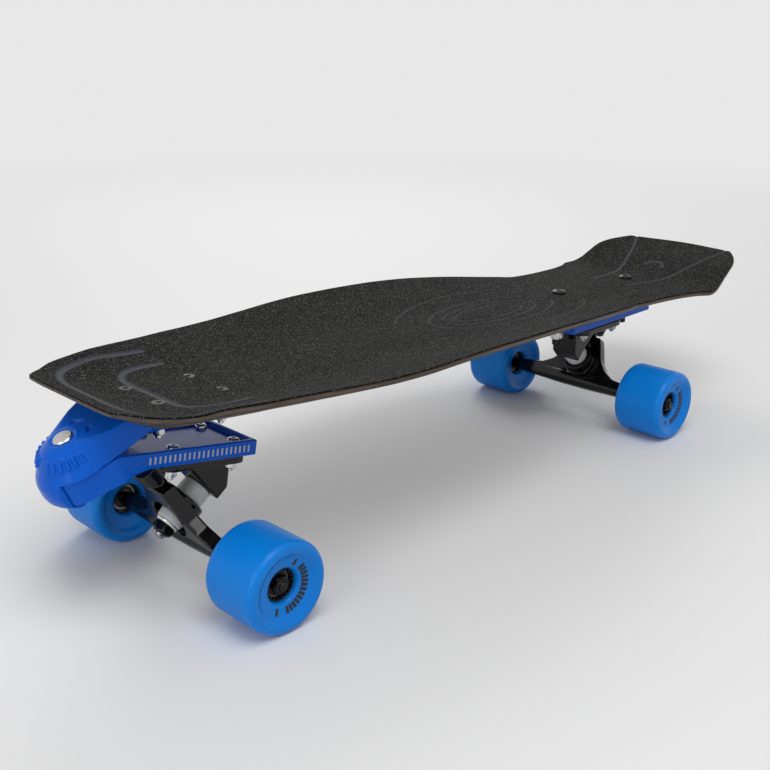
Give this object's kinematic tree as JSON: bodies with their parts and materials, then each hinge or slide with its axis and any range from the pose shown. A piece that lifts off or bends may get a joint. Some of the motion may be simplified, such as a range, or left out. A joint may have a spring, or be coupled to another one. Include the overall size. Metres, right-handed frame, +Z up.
{
  "type": "surf skateboard",
  "caption": "Cruiser deck with raised rails and a kicked tail on two tilting trucks, the front one on an arm that swings under the nose, and soft wide wheels.",
  "frame": {"origin": "middle of the floor under the whole board", "axes": "+X to the nose, +Y to the rider's left when facing the nose, +Z up"},
  "size_m": [0.8374, 0.246, 0.1698],
  "materials": {
    "blue_paint": "glossy blue powder coat",
    "urethane": "satin cast urethane",
    "black_paint": "glossy black paint",
    "black_plastic": "satin",
    "rubber": "matt",
    "pale_urethane": "satin cast urethane",
    "chrome": "polished",
    "steel": "plain zinc",
    "ply": "dark stained plywood",
    "grip": "coarse grit"
  },
  "bodies": {
    "board": {"deck": "ply", "grip_tape": "grip", "adapter_body": "blue_paint", "pivot_bolt": "chrome", "pivot_nut": "steel", "pivot_bush": "steel", "riser_block": "blue_paint", "riser_bolt_front": "chrome", "riser_bolt_rear": "chrome", "deck_screw_1": "chrome", "deck_screw_2": "chrome", "deck_screw_3": "chrome", "deck_screw_4": "chrome", "riser_screw_1": "steel", "riser_screw_2": "steel", "riser_screw_3": "steel", "riser_screw_4": "steel", "rear_baseplate": "black_paint", "rear_pivot_cup": "rubber", "rear_kingpin": "steel", "rear_kingpin_nut": "chrome", "rear_cup_washer": "chrome", "rear_upper_bushing": "pale_urethane", "rear_lower_bushing": "pale_urethane"},
    "arm": {"adapter_arm": "blue_paint", "arm_screw_1": "chrome", "arm_screw_2": "chrome", "arm_screw_3": "chrome", "arm_screw_4": "chrome", "front_baseplate": "black_paint", "front_pivot_cup": "rubber", "front_kingpin": "steel", "front_kingpin_nut": "chrome", "front_cup_washer": "chrome", "front_upper_bushing": "pale_urethane", "front_lower_bushing": "pale_urethane"},
    "front_steering": {"front_hanger": "black_paint", "front_axle": "steel", "front_left_axle_nut": "chrome", "front_right_axle_nut": "chrome"},
    "rear_steering": {"rear_hanger": "black_paint", "rear_axle": "steel", "rear_left_axle_nut": "chrome", "rear_right_axle_nut": "chrome"},
    "front_left_wheel": {"front_left_tyre": "urethane", "front_left_core": "black_plastic", "front_left_outer_bearing": "steel", "front_left_inner_bearing": "steel"},
    "front_right_wheel": {"front_right_tyre": "urethane", "front_right_core": "black_plastic", "front_right_outer_bearing": "steel", "front_right_inner_bearing": "steel"},
    "rear_left_wheel": {"rear_left_tyre": "urethane", "rear_left_core": "black_plastic", "rear_left_outer_bearing": "steel", "rear_left_inner_bearing": "steel"},
    "rear_right_wheel": {"rear_right_tyre": "urethane", "rear_right_core": "black_plastic", "rear_right_outer_bearing": "steel", "rear_right_inner_bearing": "steel"}
  },
  "joints": [
    {"name": "adapter_swing", "type": "hinge", "parent": "board", "child": "arm", "pos_m": [0.39075, 0, 0.12015], "axis": [0.3907, 0, 0.9205], "range_deg": [-25, 25]},
    {"name": "front_steer", "type": "hinge", "parent": "arm", "child": "front_steering", "pos_m": [0.30727, 0, 0.05745], "axis": [0.5948, 0, 0.8039], "range_deg": [-20, 20], "stiffness_Nm_per_rad": 60, "deforming": ["front_upper_bushing", "front_lower_bushing"]},
    {"name": "rear_steer", "type": "hinge", "parent": "board", "child": "rear_steering", "pos_m": [-0.21264, 0, 0.057], "axis": [-0.7254, 0, 0.6884], "range_deg": [-20, 20], "stiffness_Nm_per_rad": 60, "deforming": ["rear_upper_bushing", "rear_lower_bushing"]},
    {"name": "front_left_spin", "type": "hinge", "parent": "front_steering", "child": "front_left_wheel", "pos_m": [0.30666, 0.097, 0.035], "axis": [0, 1, 0], "continuous": true},
    {"name": "front_right_spin", "type": "hinge", "parent": "front_steering", "child": "front_right_wheel", "pos_m": [0.30666, -0.097, 0.035], "axis": [0, 1, 0], "continuous": true},
    {"name": "rear_left_spin", "type": "hinge", "parent": "rear_steering", "child": "rear_left_wheel", "pos_m": [-0.20814, 0.097, 0.035], "axis": [0, 1, 0], "continuous": true},
    {"name": "rear_right_spin", "type": "hinge", "parent": "rear_steering", "child": "rear_right_wheel", "pos_m": [-0.20814, -0.097, 0.035], "axis": [0, 1, 0], "continuous": true}
  ]
}
